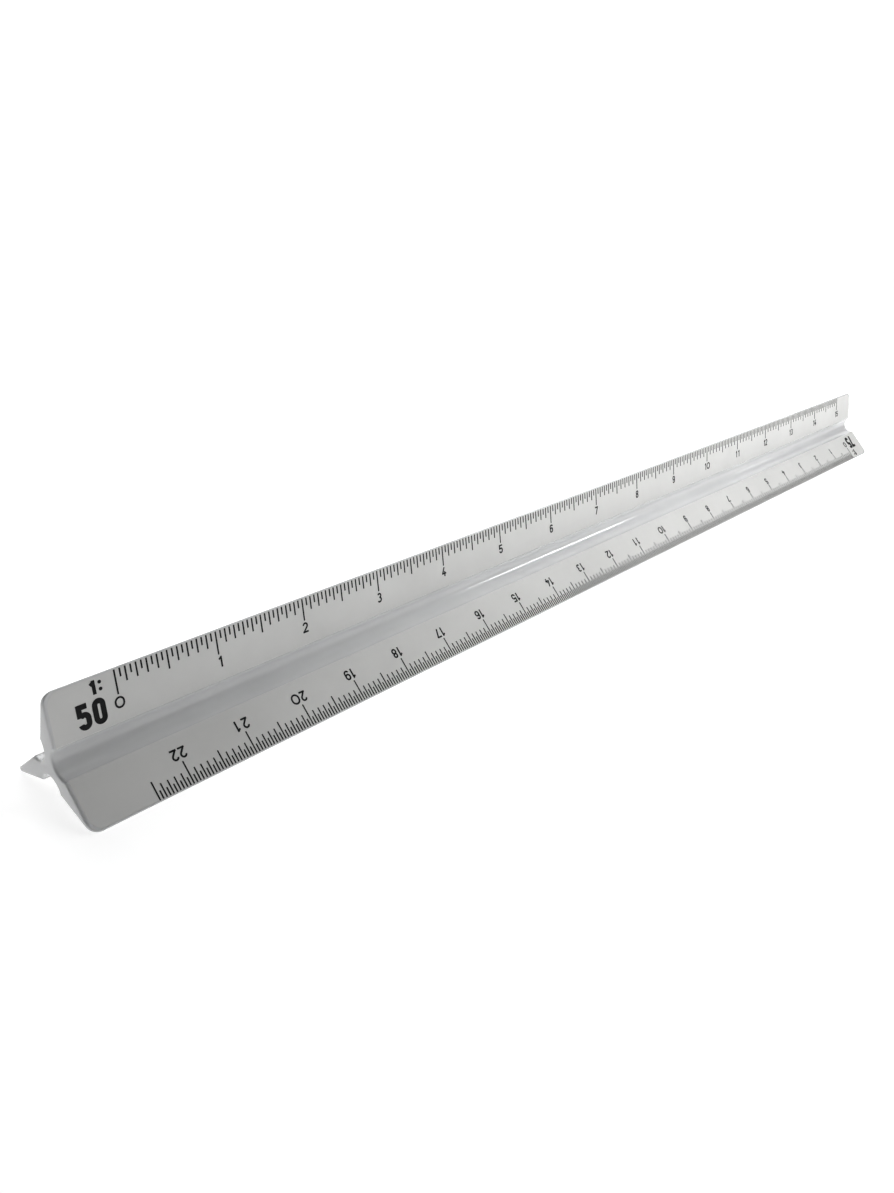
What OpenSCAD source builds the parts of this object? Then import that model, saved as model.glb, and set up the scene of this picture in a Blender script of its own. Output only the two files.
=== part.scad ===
// Triangular scale ruler: three fluted arms, six printed edges, real size.
// X runs along the ruler, Z points up, and the ruler stands on two of its three edges.
// The side that faces the reader carries 1:50 along its upper edge and 1:75, head down,
// along its lower edge. All lengths are in millimetres.

/* [Body] */
// Overall length
length = 325; // [324:0.5:340]
// Width of one side, over its two edges
side = 23.5; // [23:0.5:28]
// Radius of the rounded edge of each arm
edge_r = 0.2; // [0.15:0.05:0.4]
// Angle by which each printed flank leans in from the flat side of the triangle
flank_lean = 18; // [12:0.5:20]
// Width of each printed flank, from the edge to the flute
flank_w = 9.2; // [8:0.1:9.6]
// Depth of the finger flute below the corners of the two flanks
flute_depth = 2.1; // [1:0.1:2.4]
// Corner radius of each arm at the two ends
corner_r = 2; // [1:0.1:4]

/* [Facings] */
// Thickness of the matt facing let into each flank
facing_t = 0.2; // [0.1:0.05:0.25]
// Distance from the end of the ruler to the end of a facing
facing_inset = 0.6; // [0.5:0.1:1]
// Distance from the start of the rounded edge to the facing
facing_rim = 0.1; // [0.1:0.05:0.3]

/* [Graduations] */
// Drawn length of every scale
scale_len = 300; // [200:10:300]
// Thickness of the ink
ink_t = 0.03; // [0.02:0.01:0.04]
// Length of the finest line
fine_len = 1.6; // [1:0.1:2]
// Length of every second line
second_len = 2.65; // [2:0.05:3]
// Length of the half line
half_len = 3.5; // [3:0.1:4]
// Length of the numbered line
unit_len = 4.4; // [4:0.1:5]
// Width of a line on the widely spaced scales
wide_line = 0.28; // [0.15:0.01:0.32]
// Width of a line on the closely spaced scales
close_line = 0.24; // [0.12:0.01:0.26]

/* [Numerals] */
// Height of a numeral
digit_h = 2.05; // [1.5:0.05:2.4]
// Width of a numeral, as a share of its height
digit_aspect = 0.62; // [0.5:0.01:0.7]
// Width of a round zero, as a share of its height
zero_aspect = 0.9; // [0.7:0.05:1]
// Width of the stroke
digit_stroke = 0.32; // [0.2:0.01:0.34]
// Space between two numerals
digit_gap = 0.34; // [0.2:0.02:0.5]
// Distance from a numbered line to its numeral
digit_drop = 0.4; // [0.2:0.05:0.8]

/* [Ratio marks] */
// Height of the large figures
ratio_h = 4.5; // [3:0.1:4.8]
// Width of a large figure, as a share of its height
ratio_aspect = 0.52; // [0.4:0.01:0.6]
// Stroke of the large figures
ratio_stroke = 0.92; // [0.5:0.02:1]
// Space between two large figures
ratio_gap = 0.42; // [0.2:0.02:0.6]
// Distance from the zero line back to the large figures
ratio_back = 2.5; // [2:0.1:3]
// Distance from the edge to the foot of the large figures
ratio_foot = 8.2; // [7.8:0.1:8.6]
// Height of the small figure one and its colon
prefix_h = 2.4; // [1.5:0.1:2.6]
// Stroke of the small figure one, and width of the two dots of its colon
prefix_stroke = 0.6; // [0.3:0.01:0.7]
// Space between the small figure one and its colon
prefix_gap = 0.4; // [0.2:0.05:0.6]
// Distance from the edge to the foot of the small figure one
prefix_foot = 2.95; // [2.8:0.05:3.1]

/* [Hidden] */
$fn = 48;
SIDES = 3;
SIDE_TURN = 360 / SIDES;
FACE_TURN = 60;
// Spare length of a cutting shape, past the surface it cuts
OVER = 1;

// Triangle through the centres of the three rounded edges
core_side = side - 2 * edge_r;
centre_to_side = core_side / (2 * sqrt(3));
centre_to_tip = core_side / sqrt(3);
tip_reach = centre_to_tip + edge_r;
centre_h = centre_to_side + edge_r;
// Room between the arms and the round body that trims their ends
ENVELOPE_GAP = 0.05;

// Flank in the plane of one side: "along" runs up the side, "out" away from the centre
flank_top_along = core_side / 2 - edge_r * sin(flank_lean);
flank_top_out = centre_to_side + edge_r * cos(flank_lean);
flank_end_along = flank_top_along - flank_w * cos(flank_lean);
flank_end_out = flank_top_out - flank_w * sin(flank_lean);

// Flute: one arc through the corners of the two flanks
flute_r = (pow(flank_end_along, 2) + pow(flute_depth, 2)) / (2 * flute_depth);
flute_out = flank_end_out - flute_depth + flute_r;

// Place of the print on a flank, measured from the edge
zero_x = -scale_len / 2;
digit_base = unit_len + digit_drop + digit_h;
COUNT_SLACK = 0.01;

// Fine lines closer together than this get the narrower ink line
FINE_PITCH = 0.9;
METRE = 1000;

// The three sides, and the two edges of a side
FRONT = 0;
UNDER = 1;
REAR = 2;
UPPER = 0;
LOWER = 1;

BODY_COLOUR = "gainsboro";
FACING_COLOUR = "whitesmoke";
INK_COLOUR = "dimgray";

// ---- Section of the ruler, seen along its length ----

function turned(p, a) = [p.x * cos(a) - p.y * sin(a), p.x * sin(a) + p.y * cos(a)];

function side_points(turn) = [
    for (p = [
        [flank_top_along, flank_top_out],
        [flank_end_along - OVER * cos(flank_lean), flank_end_out - OVER * sin(flank_lean)],
        [OVER * cos(flank_lean) - flank_end_along, flank_end_out - OVER * sin(flank_lean)],
        [-flank_top_along, flank_top_out]
    ]) turned(p, FACE_TURN + SIDE_TURN * turn)
];

module star_section() {
    difference() {
        union() {
            polygon([for (turn = [0 : SIDES - 1]) each side_points(turn)]);
            for (turn = [0 : SIDES - 1])
                rotate(FACE_TURN + SIDE_TURN * turn)
                    translate([core_side / 2, centre_to_side])
                        circle(edge_r);
        }
        for (turn = [0 : SIDES - 1])
            rotate(FACE_TURN + SIDE_TURN * turn)
                translate([0, flute_out])
                    circle(flute_r);
    }
}

// Room for one facing: as deep as it is thick, and open outwards
module facing_room(turn, edge) {
    rotate(FACE_TURN + SIDE_TURN * turn)
        mirror([edge, 0])
            translate([flank_top_along, flank_top_out])
                rotate(flank_lean)
                    translate([-flank_w - OVER, -facing_t])
                        square([flank_w + OVER - facing_rim, facing_t + OVER]);
}

// ---- Solids built from the section ----

module rod() {
    translate([0, 0, centre_h])
        rotate([90, 0, 90])
            linear_extrude(length + 2 * OVER, center = true)
                children();
}

// Round body whose ends have the corner radius of the arms
module envelope(inset) {
    reach = tip_reach + ENVELOPE_GAP;
    half = length / 2 - inset;
    translate([0, 0, centre_h])
        rotate([0, 90, 0])
            rotate_extrude() {
                translate([0, -half])
                    square([reach - corner_r, 2 * half]);
                translate([0, corner_r - half])
                    square([reach, 2 * (half - corner_r)]);
                for (end = [-1, 1])
                    translate([reach - corner_r, end * (half - corner_r)])
                        circle(corner_r);
            }
}

module facing(turn, edge) {
    intersection() {
        rod() star_section();
        rod() facing_room(turn, edge);
        envelope(facing_inset);
    }
}

module core() {
    color(BODY_COLOUR)
        difference() {
            intersection() {
                rod() star_section();
                envelope(0);
            }
            for (turn = [FRONT, UNDER, REAR], edge = [UPPER, LOWER])
                intersection() {
                    rod() facing_room(turn, edge);
                    envelope(facing_inset);
                }
        }
}

// ---- Print ----

// Plane of one flank: x along the ruler, y towards the edge, z outwards
module on_flank(turn, edge) {
    translate([0, 0, centre_h])
        rotate([FACE_TURN + SIDE_TURN * turn, 0, 0])
            rotate([0, 0, 180 * edge])
                translate([0, flank_top_along, flank_top_out])
                    rotate([flank_lean, 0, 0])
                        children();
}

// Straight stroke between two points
module bar(from, to, stroke) {
    run = to - from;
    translate([from.x, from.y, 0])
        rotate([0, 0, atan2(run.y, run.x)])
            translate([0, -stroke / 2, 0])
                cube([norm(run), stroke, ink_t]);
}

// Round stroke about a centre, between two angles
module bow(centre, radius, from, to, stroke) {
    translate([centre.x, centre.y, 0])
        rotate([0, 0, from])
            rotate_extrude(angle = to - from)
                translate([radius - stroke / 2, 0])
                    square([stroke, ink_t]);
}

// The ten figures are drawn on their centre lines, in a box a wide and b high
module figure_0(a, b, s) {
    r = a / 2;
    bow([r, b - r], r, 0, 180, s);
    bow([r, r], r, 180, 360, s);
    for (x = [0, a])
        bar([x, r], [x, b - r], s);
}

module figure_1(a, b, s) {
    stem = a * 0.88;
    flag = (a + s) * 0.38;
    bar([stem, -s / 2], [stem, b + s / 2], s);
    bar([stem - flag, b - flag * 0.76], [stem, b], s);
}

module figure_2(a, b, s) {
    r = a / 2;
    reach = norm([r, b - r]);
    leave = atan2(r - b, -r) + acos(r / reach);
    bow([r, b - r], r, leave, 170, s);
    bar([r + r * cos(leave), b - r + r * sin(leave)], [0, 0], s);
    bar([-s / 2, 0], [a + s / 2, 0], s);
}

module figure_3(a, b, s) {
    top_r = b * 0.235;
    low_r = b / 2 - top_r;
    bow([a - low_r, b - top_r], top_r, -90, 150, s);
    bow([a - low_r, low_r], low_r, -150, 90, s);
}

module figure_4(a, b, s) {
    stem = a * 0.72;
    arm = b * 0.28;
    bar([stem - a * 0.1, b + s / 2], [0, arm], s);
    bar([-s / 2, arm], [a + s / 2, arm], s);
    bar([stem, -s / 2], [stem, b * 0.55], s);
}

module figure_5(a, b, s) {
    r = a / 2;
    bowl = b * 0.6;
    bar([-s / 2, b], [a, b], s);
    bar([0, bowl - r / 2], [0, b], s);
    bow([r, bowl - r], r, 0, 150, s);
    bar([a, r], [a, bowl - r], s);
    bow([r, r], r, 190, 360, s);
}

module figure_6(a, b, s) {
    r = a / 2;
    bow([r, b - r], r, 25, 180, s);
    bar([0, r], [0, b - r], s);
    figure_0(a, b * 0.59, s);
}

module figure_7(a, b, s) {
    bar([-s / 2, b], [a + s / 2, b], s);
    bar([a * 0.3, -s / 2], [a, b], s);
}

module figure_8(a, b, s) {
    top_r = b * 0.235;
    low_r = b / 2 - top_r;
    bow([a / 2, b - top_r], top_r, 0, 360, s);
    bow([a / 2, low_r], low_r, 0, 360, s);
}

module figure_9(a, b, s) {
    translate([a, b, 0])
        rotate([0, 0, 180])
            figure_6(a, b, s);
}

// One figure with its lower left corner at the origin
module figure(n, w, h, s) {
    a = w - s;
    b = h - s;
    translate([s / 2, s / 2, 0]) {
        if (n == 0) figure_0(a, b, s);
        if (n == 1) figure_1(a, b, s);
        if (n == 2) figure_2(a, b, s);
        if (n == 3) figure_3(a, b, s);
        if (n == 4) figure_4(a, b, s);
        if (n == 5) figure_5(a, b, s);
        if (n == 6) figure_6(a, b, s);
        if (n == 7) figure_7(a, b, s);
        if (n == 8) figure_8(a, b, s);
        if (n == 9) figure_9(a, b, s);
    }
}

function figures(n) = n < 10 ? [n] : concat(figures(floor(n / 10)), [n % 10]);

// Place of figure i in a row of figures; the zero may be wider than the others
function start(row, i, w, zero_w, gap) =
    i == 0 ? 0 : start(row, i - 1, w, zero_w, gap) + (row[i - 1] == 0 ? zero_w : w) + gap;

function row_width(n, w, zero_w, gap) =
    start(figures(n), len(figures(n)), w, zero_w, gap) - gap;

// A whole number with its lower left corner at the origin
module number(n, w, zero_w, h, s, gap) {
    row = figures(n);
    for (i = [0 : len(row) - 1])
        translate([start(row, i, w, zero_w, gap), 0, 0])
            figure(row[i], row[i] == 0 ? zero_w : w, h, s);
}

function line_len(i, per_unit, per_second) =
    i % per_unit == 0 ? unit_len :
    i % (per_unit / 2) == 0 ? half_len :
    i % per_second == 0 ? second_len : fine_len;

// per_unit and per_second count the fine lines to a numbered and to a second line
module graduations(ratio, per_unit, per_second) {
    pitch = METRE / ratio / per_unit;
    line_w = pitch < FINE_PITCH ? close_line : wide_line;
    for (i = [0 : round(scale_len / pitch)]) {
        line = line_len(i, per_unit, per_second);
        translate([zero_x + i * pitch - line_w / 2, -line, 0])
            cube([line_w, line - facing_rim, ink_t]);
    }
}

module numerals(ratio) {
    w = digit_h * digit_aspect;
    zero_w = digit_h * zero_aspect;
    for (n = [0 : floor(scale_len * ratio / METRE + COUNT_SLACK)]) {
        left = zero_x + n * METRE / ratio - row_width(n, w, zero_w, digit_gap) / 2;
        translate([left, -digit_base, 0])
            number(n, w, zero_w, digit_h, digit_stroke, digit_gap);
    }
}

module ratio_mark(ratio) {
    w = ratio_h * ratio_aspect;
    one_w = prefix_h * digit_aspect;
    right = zero_x - ratio_back;
    translate([right - row_width(ratio, w, w, ratio_gap), -ratio_foot, 0])
        number(ratio, w, w, ratio_h, ratio_stroke, ratio_gap);
    translate([right - prefix_stroke - prefix_gap - one_w, -prefix_foot, 0])
        figure(1, one_w, prefix_h, prefix_stroke);
    for (share = [0.25, 0.75])
        translate([right - prefix_stroke / 2, share * prefix_h - prefix_foot, 0])
            cylinder(d = prefix_stroke, h = ink_t);
}

// ---- Sub-parts ----

module facing_1_50() {
    color(FACING_COLOUR) facing(FRONT, UPPER);
}

module graduations_1_50() {
    color(INK_COLOUR) on_flank(FRONT, UPPER) graduations(50, 20, 2);
}

module numerals_1_50() {
    color(INK_COLOUR) on_flank(FRONT, UPPER) numerals(50);
}

module ratio_mark_1_50() {
    color(INK_COLOUR) on_flank(FRONT, UPPER) ratio_mark(50);
}

module facing_1_75() {
    color(FACING_COLOUR) facing(FRONT, LOWER);
}

module graduations_1_75() {
    color(INK_COLOUR) on_flank(FRONT, LOWER) graduations(75, 20, 2);
}

module numerals_1_75() {
    color(INK_COLOUR) on_flank(FRONT, LOWER) numerals(75);
}

module ratio_mark_1_75() {
    color(INK_COLOUR) on_flank(FRONT, LOWER) ratio_mark(75);
}

module facing_1_20() {
    color(FACING_COLOUR) facing(UNDER, UPPER);
}

module graduations_1_20() {
    color(INK_COLOUR) on_flank(UNDER, UPPER) graduations(20, 50, 5);
}

module numerals_1_20() {
    color(INK_COLOUR) on_flank(UNDER, UPPER) numerals(20);
}

module ratio_mark_1_20() {
    color(INK_COLOUR) on_flank(UNDER, UPPER) ratio_mark(20);
}

module facing_1_25() {
    color(FACING_COLOUR) facing(UNDER, LOWER);
}

module graduations_1_25() {
    color(INK_COLOUR) on_flank(UNDER, LOWER) graduations(25, 50, 5);
}

module numerals_1_25() {
    color(INK_COLOUR) on_flank(UNDER, LOWER) numerals(25);
}

module ratio_mark_1_25() {
    color(INK_COLOUR) on_flank(UNDER, LOWER) ratio_mark(25);
}

module facing_1_100() {
    color(FACING_COLOUR) facing(REAR, UPPER);
}

module graduations_1_100() {
    color(INK_COLOUR) on_flank(REAR, UPPER) graduations(100, 10, 5);
}

module numerals_1_100() {
    color(INK_COLOUR) on_flank(REAR, UPPER) numerals(100);
}

module ratio_mark_1_100() {
    color(INK_COLOUR) on_flank(REAR, UPPER) ratio_mark(100);
}

module facing_1_125() {
    color(FACING_COLOUR) facing(REAR, LOWER);
}

module graduations_1_125() {
    color(INK_COLOUR) on_flank(REAR, LOWER) graduations(125, 10, 5);
}

module numerals_1_125() {
    color(INK_COLOUR) on_flank(REAR, LOWER) numerals(125);
}

module ratio_mark_1_125() {
    color(INK_COLOUR) on_flank(REAR, LOWER) ratio_mark(125);
}

core();
facing_1_50();
facing_1_75();
facing_1_20();
facing_1_25();
facing_1_100();
facing_1_125();
graduations_1_50();
graduations_1_75();
graduations_1_20();
graduations_1_25();
graduations_1_100();
graduations_1_125();
numerals_1_50();
numerals_1_75();
numerals_1_20();
numerals_1_25();
numerals_1_100();
numerals_1_125();
ratio_mark_1_50();
ratio_mark_1_75();
ratio_mark_1_20();
ratio_mark_1_25();
ratio_mark_1_100();
ratio_mark_1_125();
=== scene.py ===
"""Triangular scale ruler on a pale floor: the looks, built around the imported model.

The bar and its six matt facings are rebuilt here as smooth lofted meshes of the same section
as the CAD solids; the printed lines, numerals and ratio marks are the CAD solids themselves.
All lengths are in metres. X runs along the ruler and Z points up.
"""
import math

import bmesh
import bpy
from mathutils import Matrix, Vector


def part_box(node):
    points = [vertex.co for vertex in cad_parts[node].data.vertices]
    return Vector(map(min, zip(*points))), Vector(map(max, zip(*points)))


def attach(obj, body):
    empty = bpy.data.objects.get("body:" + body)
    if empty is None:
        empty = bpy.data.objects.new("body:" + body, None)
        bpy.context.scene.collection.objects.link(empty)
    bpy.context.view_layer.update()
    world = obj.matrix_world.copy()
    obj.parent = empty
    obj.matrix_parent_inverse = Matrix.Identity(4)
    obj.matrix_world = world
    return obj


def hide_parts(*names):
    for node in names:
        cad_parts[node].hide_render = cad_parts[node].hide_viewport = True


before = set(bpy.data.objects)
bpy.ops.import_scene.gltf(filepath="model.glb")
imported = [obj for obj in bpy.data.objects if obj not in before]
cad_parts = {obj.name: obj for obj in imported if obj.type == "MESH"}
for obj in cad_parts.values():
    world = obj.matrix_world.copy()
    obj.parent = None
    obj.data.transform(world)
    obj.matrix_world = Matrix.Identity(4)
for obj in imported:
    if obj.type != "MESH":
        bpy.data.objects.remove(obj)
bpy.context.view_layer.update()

MM = 0.001

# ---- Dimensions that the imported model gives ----
CORE_LOW, CORE_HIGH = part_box("core")
HALF_LENGTH = (CORE_HIGH.x - CORE_LOW.x) / 2
SIDE = CORE_HIGH.y - CORE_LOW.y

# ---- Dimensions of the section ----
EDGE_R = 0.2 * MM
FLANK_LEAN = math.radians(18)
FLANK_W = 9.2 * MM
FLUTE_DEPTH = 2.1 * MM
CORNER_R = 2.0 * MM
END_FILLET = 0.45 * MM
FACING_T = 0.2 * MM
FACING_INSET = 0.6 * MM
FACING_RIM = 0.1 * MM
SEAM = 0.01 * MM
FACING_BREAK = 0.03 * MM

SIDES = 3
FACE_TURN = math.radians(60)
SIDE_TURN = 2 * math.pi / SIDES
ARM_AXIS = math.radians(30)
ARM_TAPER = ARM_AXIS - FLANK_LEAN

CORE_SIDE = SIDE - 2 * EDGE_R
CENTRE_TO_SIDE = CORE_SIDE / (2 * math.sqrt(3))
CENTRE_TO_TIP = CORE_SIDE / math.sqrt(3)
CENTRE_H = CENTRE_TO_SIDE + EDGE_R
APEX_TO_CENTRE = EDGE_R / math.sin(ARM_TAPER)

# Flank in the plane of one side: x runs up the side, y out of it, from the ruler's axis
FLANK_OUT = Vector((-math.sin(FLANK_LEAN), math.cos(FLANK_LEAN)))
FLANK_IN = Vector((-math.cos(FLANK_LEAN), -math.sin(FLANK_LEAN)))
FLANK_TOP = Vector((CORE_SIDE / 2, CENTRE_TO_SIDE)) + FLANK_OUT * EDGE_R
FLANK_END = FLANK_TOP + FLANK_IN * FLANK_W
FLUTE_R = (FLANK_END.x**2 + FLUTE_DEPTH**2) / (2 * FLUTE_DEPTH)
FLUTE_CENTRE = Vector((0, FLANK_END.y - FLUTE_DEPTH + FLUTE_R))

# Fineness of the round stretches
TIP_STEPS = 7
FLUTE_STEPS = 28
CORNER_STEPS = 14
# Points closer than this are one point, and edges sharper than this stay sharp
WELD = 0.0005 * MM
SHARP = math.radians(32)

# The ratios on the upper and lower edge of the front, the underside and the rear
RATIOS = [(50, 75), (20, 25), (100, 125)]


# ---- Section of the ruler at any place along it ----
def tip_retreat(x, inset=0.0):
    """How far the arm's edge has drawn back at x, because its corners are rounded."""
    into = abs(x) + inset - (HALF_LENGTH - CORNER_R)
    if into <= 0:
        return 0.0
    into = min(into, CORNER_R)
    return CORNER_R - math.sqrt(CORNER_R**2 - into**2)


def end_draw_in(x):
    """How far the outline has drawn in at x, because the end's rim is rounded."""
    into = abs(x) - (HALF_LENGTH - END_FILLET)
    if into <= 0:
        return 0.0
    into = min(into, END_FILLET)
    return END_FILLET - math.sqrt(END_FILLET**2 - into**2)


def apex_distance(retreat):
    return APEX_TO_CENTRE + retreat / (1 - math.sin(ARM_TAPER))


def flank_start(retreat):
    """Distance along the flank from the full edge to where the flank starts."""
    return (apex_distance(retreat) - APEX_TO_CENTRE) * math.cos(ARM_TAPER)


def facing_start(x):
    return FACING_RIM + flank_start(tip_retreat(x, FACING_INSET))


def on_flank(along, depth):
    return FLANK_TOP + FLANK_IN * along - FLANK_OUT * depth


def flute_meets(depth, radius):
    """Where a line "depth" below the flank runs into the flute."""
    start = on_flank(0, depth) - FLUTE_CENTRE
    half_b = start.dot(FLANK_IN)
    along = -half_b - math.sqrt(half_b**2 - (start.length_squared - radius**2))
    return on_flank(along, depth)


def polar(centre, radius, angle):
    return centre + radius * Vector((math.cos(angle), math.sin(angle)))


def side_outline(x, grooved):
    """Half of one side, from the edge to the middle of the flute, then its mirror image."""
    retreat = tip_retreat(x)
    draw_in = end_draw_in(x)
    apex = apex_distance(retreat)
    centre = polar(Vector((0, 0)), CENTRE_TO_TIP + APEX_TO_CENTRE - apex, ARM_AXIS)
    radius = apex * math.sin(ARM_TAPER) - draw_in
    sweep = math.pi / 2 + FLANK_LEAN - ARM_AXIS
    points = [polar(centre, radius, ARM_AXIS + sweep * i / TIP_STEPS) for i in range(TIP_STEPS + 1)]
    depth = FACING_T if grooved else draw_in
    rim = facing_start(min(abs(x), HALF_LENGTH - FACING_INSET))
    points += [on_flank(rim, draw_in), on_flank(rim, depth)]
    flute_r = FLUTE_R + draw_in
    start = flute_meets(depth, flute_r) - FLUTE_CENTRE
    first = math.atan2(start.y, start.x)
    middle = -math.pi / 2
    half = FLUTE_STEPS // 2
    turn = (middle - first) / half
    points += [polar(FLUTE_CENTRE, flute_r, first + turn * i) for i in range(half + 1)]
    return points + [Vector((-p.x, p.y)) for p in reversed(points[1:-1])]


def place(point, x, turn, flip=1):
    """From the plane of one side to the row frame."""
    angle = FACE_TURN + SIDE_TURN * turn
    along = point.x * flip
    y = along * math.cos(angle) - point.y * math.sin(angle)
    z = along * math.sin(angle) + point.y * math.cos(angle)
    return Vector((x, y, z + CENTRE_H))


def corner_stations(limit):
    """Places along the ruler that follow a rounded corner ending at limit."""
    steps = [math.sin(math.pi / 2 * i / CORNER_STEPS) for i in range(CORNER_STEPS + 1)]
    return [limit - CORNER_R + CORNER_R * s for s in steps]


# ---- Meshes ----
def loft(name, rings):
    """A closed solid through rings of equally many points."""
    mesh = bmesh.new()
    loops = [[mesh.verts.new(p) for p in ring] for ring in rings]
    for low, high in zip(loops, loops[1:]):
        for i in range(len(low)):
            mesh.faces.new((low[i - 1], low[i], high[i], high[i - 1]))
    mesh.faces.new(loops[0])
    mesh.faces.new(reversed(loops[-1]))
    bmesh.ops.remove_doubles(mesh, verts=mesh.verts, dist=WELD)
    bmesh.ops.recalc_face_normals(mesh, faces=mesh.faces)
    data = bpy.data.meshes.new(name)
    mesh.to_mesh(data)
    mesh.free()
    data.polygons.foreach_set("use_smooth", [True] * len(data.polygons))
    data.set_sharp_from_angle(angle=SHARP)
    piece = bpy.data.objects.new(name, data)
    bpy.context.scene.collection.objects.link(piece)
    return piece


def build_core():
    groove_end = HALF_LENGTH - FACING_INSET
    outer = corner_stations(HALF_LENGTH)
    inner = [x for x in corner_stations(groove_end) if x < groove_end]
    grooved = sorted(inner + [x for x in outer if x < groove_end])
    plain = [groove_end] + [x for x in outer if x > groove_end]
    half = [(x, True) for x in grooved] + [(groove_end, True)] + [(x, False) for x in plain]
    stations = [(-x, g) for x, g in reversed(half)] + half
    rings = []
    for x, groove in stations:
        outline = side_outline(x, groove)
        rings.append([place(p, x, turn) for turn in range(SIDES) for p in outline])
    return loft("core_bar", rings)


def facing_ring(x):
    start = facing_start(x) + SEAM
    corner = flute_meets(0, FLUTE_R)
    width = (corner - FLANK_TOP).dot(FLANK_IN)
    return [
        on_flank(start, FACING_T),
        on_flank(start, FACING_BREAK),
        on_flank(start + FACING_BREAK, 0),
        on_flank(width - FACING_BREAK, 0),
        flute_meets(FACING_BREAK, FLUTE_R),
        flute_meets(FACING_T, FLUTE_R),
    ]


def build_facing(turn, flip, ratio):
    limit = HALF_LENGTH - FACING_INSET
    half = [min(x, limit - SEAM) for x in corner_stations(limit)]
    stations = [-x for x in reversed(half)] + half
    rings = [[place(p, x, turn, flip) for p in facing_ring(x)] for x in stations]
    return loft(f"facing_strip_1_{ratio}", rings)


# ---- Materials ----
class Nodes:
    """A short way to write a procedural material on object coordinates."""

    def __init__(self, name):
        self.material = bpy.data.materials.new(name)
        self.material.use_nodes = True
        self.tree = self.material.node_tree
        self.shader = self.tree.nodes["Principled BSDF"]
        self.place = self.tree.nodes.new("ShaderNodeTexCoord").outputs["Object"]

    def noise(self, scale, detail=3.0, rough=0.5):
        node = self.tree.nodes.new("ShaderNodeTexNoise")
        node.inputs["Scale"].default_value = scale
        node.inputs["Detail"].default_value = detail
        node.inputs["Roughness"].default_value = rough
        self.tree.links.new(self.place, node.inputs["Vector"])
        return node.outputs["Fac"]

    def ramp(self, value, stops):
        node = self.tree.nodes.new("ShaderNodeValToRGB")
        ramp = node.color_ramp
        while len(ramp.elements) < len(stops):
            ramp.elements.new(0.5)
        for element, (position, colour) in zip(ramp.elements, stops):
            element.position = position
            element.color = (*colour, 1)
        self.tree.links.new(value, node.inputs["Fac"])
        return node.outputs["Color"]

    def spread(self, value, low, high):
        """Stretch a noise to a value from low to high."""
        node = self.tree.nodes.new("ShaderNodeMapRange")
        node.inputs["From Min"].default_value = NOISE_LOW
        node.inputs["From Max"].default_value = NOISE_HIGH
        node.inputs["To Min"].default_value = low
        node.inputs["To Max"].default_value = high
        self.tree.links.new(value, node.inputs["Value"])
        return node.outputs["Result"]

    def rise(self, distances, low, high):
        """A value that goes from low to high between two distances from the origin."""
        length = self.tree.nodes.new("ShaderNodeVectorMath")
        length.operation = "LENGTH"
        self.tree.links.new(self.place, length.inputs[0])
        node = self.tree.nodes.new("ShaderNodeMapRange")
        node.inputs["From Min"].default_value = distances[0]
        node.inputs["From Max"].default_value = distances[1]
        node.inputs["To Min"].default_value = low
        node.inputs["To Max"].default_value = high
        self.tree.links.new(length.outputs["Value"], node.inputs["Value"])
        return node.outputs["Result"]

    def bump(self, height, distance, strength, under=None):
        node = self.tree.nodes.new("ShaderNodeBump")
        node.inputs["Distance"].default_value = distance
        node.inputs["Strength"].default_value = strength
        self.tree.links.new(height, node.inputs["Height"])
        if under is not None:
            self.tree.links.new(under, node.inputs["Normal"])
        return node.outputs["Normal"]

    def feed(self, socket, value):
        self.tree.links.new(value, self.shader.inputs[socket])

    def fix(self, socket, value):
        self.shader.inputs[socket].default_value = value


BODY_DARK = (0.715, 0.72, 0.725)
BODY_LIGHT = (0.755, 0.76, 0.763)
FACING_DARK = (0.71, 0.71, 0.70)
FACING_LIGHT = (0.75, 0.75, 0.74)
INK_DARK = (0.012, 0.012, 0.013)
INK_LIGHT = (0.035, 0.035, 0.037)
# Where a noise between 0 and 1 reads as its dark and its light colour
NOISE_LOW = 0.3
NOISE_HIGH = 0.7
INK_NOISE_HIGH = 0.75


def body_plastic():
    """Smooth white moulding plastic, a little cool, with faint flow marks and handling haze."""
    m = Nodes("body_plastic")
    cloud = m.noise(scale=45, detail=4)
    m.feed("Base Color", m.ramp(cloud, [(NOISE_LOW, BODY_DARK), (NOISE_HIGH, BODY_LIGHT)]))
    haze = m.noise(scale=160, detail=5, rough=0.6)
    m.feed("Roughness", m.spread(haze, low=0.17, high=0.27))
    flow = m.bump(m.noise(scale=90, detail=2), distance=0.02 * MM, strength=0.5)
    grain = m.noise(scale=2600, detail=2)
    m.feed("Normal", m.bump(grain, distance=0.004 * MM, strength=0.5, under=flow))
    m.fix("IOR", 1.5)
    m.fix("Coat Weight", 0.35)
    m.fix("Coat Roughness", 0.06)
    m.fix("Subsurface Weight", 0.12)
    m.fix("Subsurface Radius", (0.9 * MM, 0.9 * MM, 0.8 * MM))
    m.fix("Subsurface Scale", 1.0)
    return m.material


def facing_plastic():
    """Matt, slightly warm white with a fine even grain."""
    m = Nodes("facing_plastic")
    cloud = m.noise(scale=60, detail=5, rough=0.6)
    m.feed("Base Color", m.ramp(cloud, [(NOISE_LOW, FACING_DARK), (NOISE_HIGH, FACING_LIGHT)]))
    m.feed("Roughness", m.spread(m.noise(scale=220, detail=4), low=0.5, high=0.64))
    grain = m.noise(scale=5200, detail=3, rough=0.6)
    m.feed("Normal", m.bump(grain, distance=0.008 * MM, strength=0.6))
    m.fix("IOR", 1.46)
    return m.material


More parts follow.
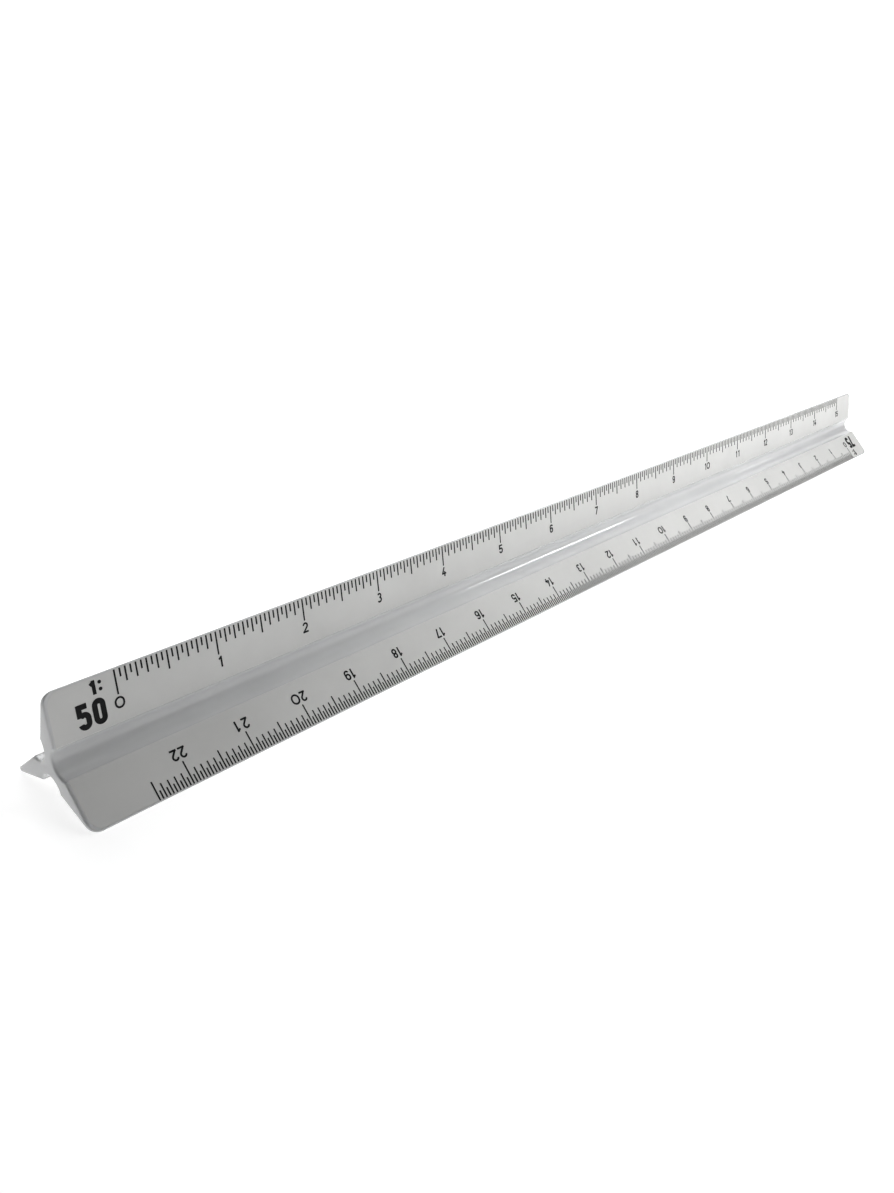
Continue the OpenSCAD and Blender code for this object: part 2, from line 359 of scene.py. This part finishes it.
def ink():
    """Matt near-black print, thinner in small patches."""
    m = Nodes("ink")
    patches = m.noise(scale=1500, detail=4, rough=0.6)
    m.feed("Base Color", m.ramp(patches, [(NOISE_LOW, INK_DARK), (INK_NOISE_HIGH, INK_LIGHT)]))
    m.feed("Roughness", m.spread(m.noise(scale=900, detail=3), low=0.5, high=0.7))
    grain = m.noise(scale=4200, detail=3)
    m.feed("Normal", m.bump(grain, distance=0.006 * MM, strength=0.5))
    m.fix("IOR", 1.4)
    return m.material


def paint(piece, material):
    piece.data.materials.clear()
    piece.data.materials.append(material)


# ---- The object ----
def build_ruler():
    white = body_plastic()
    matt = facing_plastic()
    black = ink()
    core = build_core()
    paint(core, white)
    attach(core, "root")
    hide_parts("core")
    for turn, pair in enumerate(RATIOS):
        for flip, ratio in zip((1, -1), pair):
            strip = build_facing(turn, flip, ratio)
            paint(strip, matt)
            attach(strip, "root")
            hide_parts(f"facing_1_{ratio}")
    for name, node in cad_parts.items():
        if name.startswith(("graduations", "numerals", "ratio_mark")):
            paint(node, black)


# ---- The room ----
FLOOR_FRONT = 1.2
FLOOR_BACK = 1.6
FLOOR_WIDTH = 6.0
COVE_R = 0.8
COVE_TOP = 3.0
COVE_STEPS = 24
# Strength of the paper's glow, painted light in place of studio light falling on it, at the ruler
# and far from it, and where it rises, in metres
PAPER_GLOW = 0.72
FAR_GLOW = 1.0
GLOW_RISE = (0.5, 1.5)
PAPER_DARK = (0.49, 0.49, 0.49)
PAPER_LIGHT = (0.51, 0.51, 0.51)

BACKDROP_R = 12.0
BACKDROP_DARK = (0.01, 0.01, 0.01)
BACKDROP_LIGHT = (0.012, 0.012, 0.012)

# Turn of the sweep, so that it stands square behind the ruler as the camera sees it
VIEW_TURN = math.radians(-39.4)
CAMERA_PLACE = Vector((-0.22342, -0.12889, 0.10595))
CAMERA_AIM = Vector((-0.0552, 0.0093, -0.0003))
CAMERA_ROLL = math.radians(4.86)
CAMERA_LENS = 30.18
CAMERA_SENSOR = 36
VIEW_GAMMA = 0.75

ROOM_COLOUR = (0.97, 0.985, 1.0, 1)
ROOM_STRENGTH = 0.05
# Soft boxes: name, place, the point it faces, width, height, power, whether it makes highlights
# and whether it lights surfaces; the two low ones only make the highlights in the flute
LAMPS = [
    ("front_right", (0.065, -0.12, 0.115), (0.065, 0, 0.01), 0.28, 0.08, 0.09, False, True),
    ("over_right", (0.045, -0.04, 0.16), (0.045, -0.01, 0.01), 0.28, 0.08, 0.175, False, True),
    ("far_right", (0.42, -0.25, 0.11), (0.15, 0, 0.01), 0.3, 0.2, 0.6, False, True),
    ("low_right", (0.172, -0.15, 0.069), (0.172, 0, 0.005), 0.14, 0.024, 0.15, True, False),
    ("low_far", (0.395, -0.15, 0.069), (0.395, 0, 0.005), 0.055, 0.02, 0.03, True, False),
    ("ceiling", (-0.1, 0.1, 0.9), (-0.1, 0, 0), 0.7, 0.7, 1.3, True, True),
    ("left", (-0.75, -0.35, 0.3), (-0.16, 0, 0.01), 0.6, 0.6, 0.28, True, True),
    ("behind", (0.1, 0.6, 0.5), (0.05, 0, 0.01), 0.5, 0.5, 1.6, True, True),
]


def build_floor():
    """A sheet of pale paper that lies flat under the ruler and sweeps up far behind it. It glows
    with painted light in place of studio light falling on it, dimmer near the ruler than far away.
    """
    profile = [(-FLOOR_FRONT, 0.0), (0.0, 0.0)]
    for i in range(COVE_STEPS + 1):
        angle = math.pi / 2 * i / COVE_STEPS
        profile.append((FLOOR_BACK + COVE_R * math.sin(angle), COVE_R * (1 - math.cos(angle))))
    profile.append((FLOOR_BACK + COVE_R, COVE_TOP))
    turn = Matrix.Rotation(VIEW_TURN, 4, "Z")
    mesh = bmesh.new()
    lines = []
    for x in (-FLOOR_WIDTH / 2, FLOOR_WIDTH / 2):
        lines.append([mesh.verts.new(turn @ Vector((x, y, z))) for y, z in profile])
    for i in range(len(profile) - 1):
        mesh.faces.new((lines[0][i], lines[1][i], lines[1][i + 1], lines[0][i + 1]))
    bmesh.ops.recalc_face_normals(mesh, faces=mesh.faces)
    data = bpy.data.meshes.new("floor")
    mesh.to_mesh(data)
    mesh.free()
    data.polygons.foreach_set("use_smooth", [True] * len(data.polygons))
    floor = bpy.data.objects.new("floor", data)
    bpy.context.scene.collection.objects.link(floor)
    m = Nodes("floor_paper")
    cloud = m.noise(scale=3, detail=2)
    m.feed("Base Color", m.ramp(cloud, [(NOISE_LOW, PAPER_DARK), (NOISE_HIGH, PAPER_LIGHT)]))
    m.fix("Roughness", 0.8)
    m.fix("Specular IOR Level", 0.2)
    m.fix("Emission Color", (1, 1, 1, 1))
    # Painted light: the paper glows, less near the ruler and fully far from it
    m.feed("Emission Strength", m.rise(GLOW_RISE, PAPER_GLOW, FAR_GLOW))
    paint(floor, m.material)


def build_backdrop():
    """A pale ball round the whole room that only the camera sees, so no view shows a black sky."""
    mesh = bmesh.new()
    bmesh.ops.create_uvsphere(mesh, u_segments=48, v_segments=24, radius=BACKDROP_R)
    data = bpy.data.meshes.new("backdrop")
    mesh.to_mesh(data)
    mesh.free()
    backdrop = bpy.data.objects.new("backdrop", data)
    bpy.context.scene.collection.objects.link(backdrop)
    backdrop.visible_diffuse = False
    backdrop.visible_glossy = False
    backdrop.visible_transmission = False
    backdrop.visible_shadow = False
    m = Nodes("backdrop_paper")
    cloud = m.noise(scale=0.2, detail=2)
    m.feed("Base Color", m.ramp(cloud, [(NOISE_LOW, BACKDROP_DARK), (NOISE_HIGH, BACKDROP_LIGHT)]))
    m.fix("Emission Color", (1, 1, 1, 1))
    m.fix("Emission Strength", FAR_GLOW)
    paint(backdrop, m.material)


def softbox(name, place, aim, width, height, power, shine, fill):
    light = bpy.data.lights.new(name, "AREA")
    light.shape = "RECTANGLE" if fill else "ELLIPSE"
    light.size = width
    light.size_y = height
    light.energy = power
    lamp = bpy.data.objects.new(name, light)
    lamp.location = place
    lamp.visible_camera = False
    lamp.visible_glossy = shine
    lamp.visible_diffuse = fill
    lamp.rotation_euler = (Vector(aim) - Vector(place)).to_track_quat("-Z", "Y").to_euler()
    bpy.context.scene.collection.objects.link(lamp)


def build_light():
    world = bpy.data.worlds.new("room")
    bpy.context.scene.world = world
    world.use_nodes = True
    background = world.node_tree.nodes["Background"]
    background.inputs["Color"].default_value = ROOM_COLOUR
    background.inputs["Strength"].default_value = ROOM_STRENGTH
    for lamp in LAMPS:
        softbox(*lamp)


def build_camera():
    data = bpy.data.cameras.new("camera")
    data.lens = CAMERA_LENS
    data.sensor_width = CAMERA_SENSOR
    camera = bpy.data.objects.new("camera", data)
    turn = (CAMERA_AIM - CAMERA_PLACE).to_track_quat("-Z", "Y").to_matrix().to_4x4()
    roll = Matrix.Rotation(CAMERA_ROLL, 4, "Z")
    camera.matrix_world = Matrix.Translation(CAMERA_PLACE) @ turn @ roll
    bpy.context.scene.collection.objects.link(camera)
    bpy.context.scene.camera = camera


build_ruler()
build_floor()
build_backdrop()
build_light()
build_camera()
bpy.context.scene.view_settings.view_transform = "Standard"
bpy.context.scene.view_settings.gamma = VIEW_GAMMA
